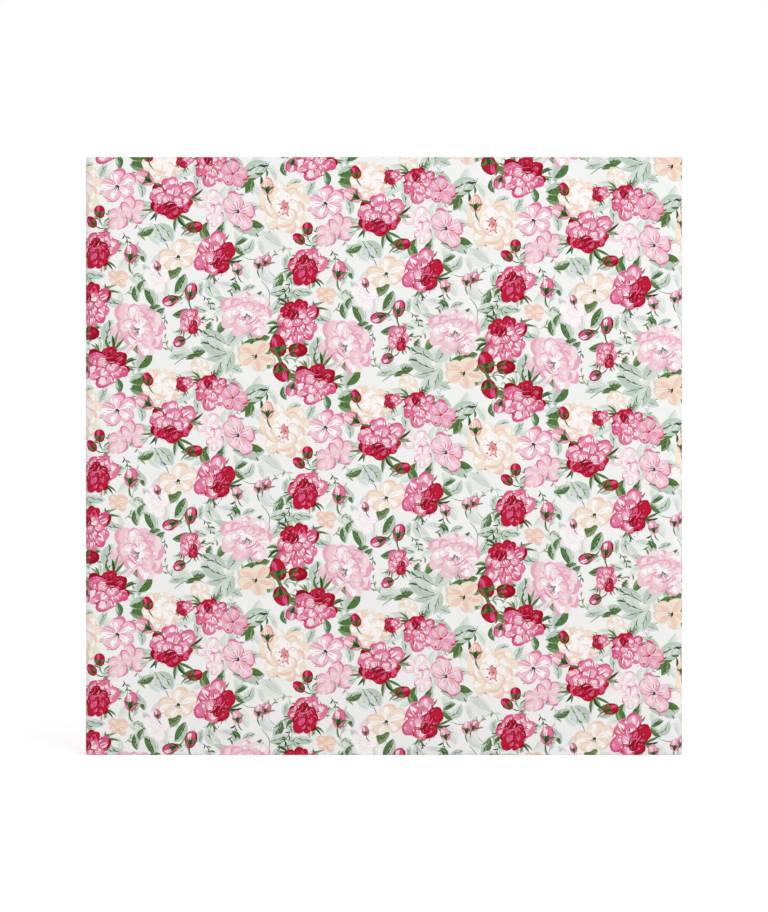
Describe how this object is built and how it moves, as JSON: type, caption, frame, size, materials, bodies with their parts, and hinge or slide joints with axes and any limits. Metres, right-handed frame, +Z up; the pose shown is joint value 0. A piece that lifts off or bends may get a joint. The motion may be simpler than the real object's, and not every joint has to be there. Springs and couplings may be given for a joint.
{
  "type": "fabric bolt",
  "caption": "Square fabric bolt: floral printed cotton folded lengthwise and wound flat round a cardboard board, loose end pinned at the back.",
  "frame": {"origin": "on the floor under the middle of the bolt's box", "axes": "+Z up, along the board the cloth is wound on; -Y out of the broad front face; +X to the right seen from the front"},
  "size_m": [0.57, 0.04, 0.57],
  "materials": {
    "printed_cotton": "plain weave cotton with a crimson, pink, cream and green rose print on white",
    "kraft_board": "brown kraft liner, creased at the folds",
    "corrugated_pad": "brown corrugated sheet, flutes showing at cut ends",
    "label_paper": "matte white self-adhesive label, blank",
    "paper_tape": "tan gummed paper tape",
    "pin_steel": "nickel plated steel wire",
    "pin_head_plastic": "pearl white ball"
  },
  "bodies": {
    "bolt": {"wound_cloth": "printed_cotton", "board_sleeve": "kraft_board", "sleeve_glue_flap": "kraft_board", "stiffening_pad_1": "corrugated_pad", "stiffening_pad_2": "corrugated_pad", "stiffening_pad_3": "corrugated_pad", "bottom_outer_flap": "kraft_board", "bottom_inner_flap": "kraft_board", "starter_tape": "paper_tape"},
    "loose_end": {"loose_end": "printed_cotton"},
    "top_flap": {"top_tuck_flap": "kraft_board", "end_label": "label_paper"},
    "tuck_tongue": {"top_tuck_tongue": "kraft_board"},
    "pin_1": {"pin_1_head": "pin_head_plastic", "pin_1_shaft": "pin_steel"},
    "pin_2": {"pin_2_head": "pin_head_plastic", "pin_2_shaft": "pin_steel"},
    "pin_3": {"pin_3_head": "pin_head_plastic", "pin_3_shaft": "pin_steel"}
  },
  "joints": [
    {"name": "loose_end_open", "type": "hinge", "parent": "bolt", "child": "loose_end", "pos_m": [-0.2754, 0.0173, 0.285], "axis": [0, 0, 1], "range_deg": [0, 150]},
    {"name": "top_flap_open", "type": "hinge", "parent": "bolt", "child": "top_flap", "pos_m": [0, -0.00815, 0.56185], "axis": [1, 0, 0], "range_deg": [0, 90]},
    {"name": "tongue_fold", "type": "hinge", "parent": "top_flap", "child": "tuck_tongue", "pos_m": [0, 0.00185, 0.56185], "axis": [-1, 0, 0], "range_deg": [0, 50]},
    {"name": "pin_1_pull", "type": "slide", "parent": "loose_end", "child": "pin_1", "axis": [1, 0, 0], "range_m": [0, 0.036]},
    {"name": "pin_2_pull", "type": "slide", "parent": "loose_end", "child": "pin_2", "axis": [1, 0, 0], "range_m": [0, 0.036]},
    {"name": "pin_3_pull", "type": "slide", "parent": "loose_end", "child": "pin_3", "axis": [1, 0, 0], "range_m": [0, 0.036]}
  ],
  "couplings": [
    {"joint": "tongue_fold", "follows": "top_flap_open", "ratio": 0.5}
  ]
}
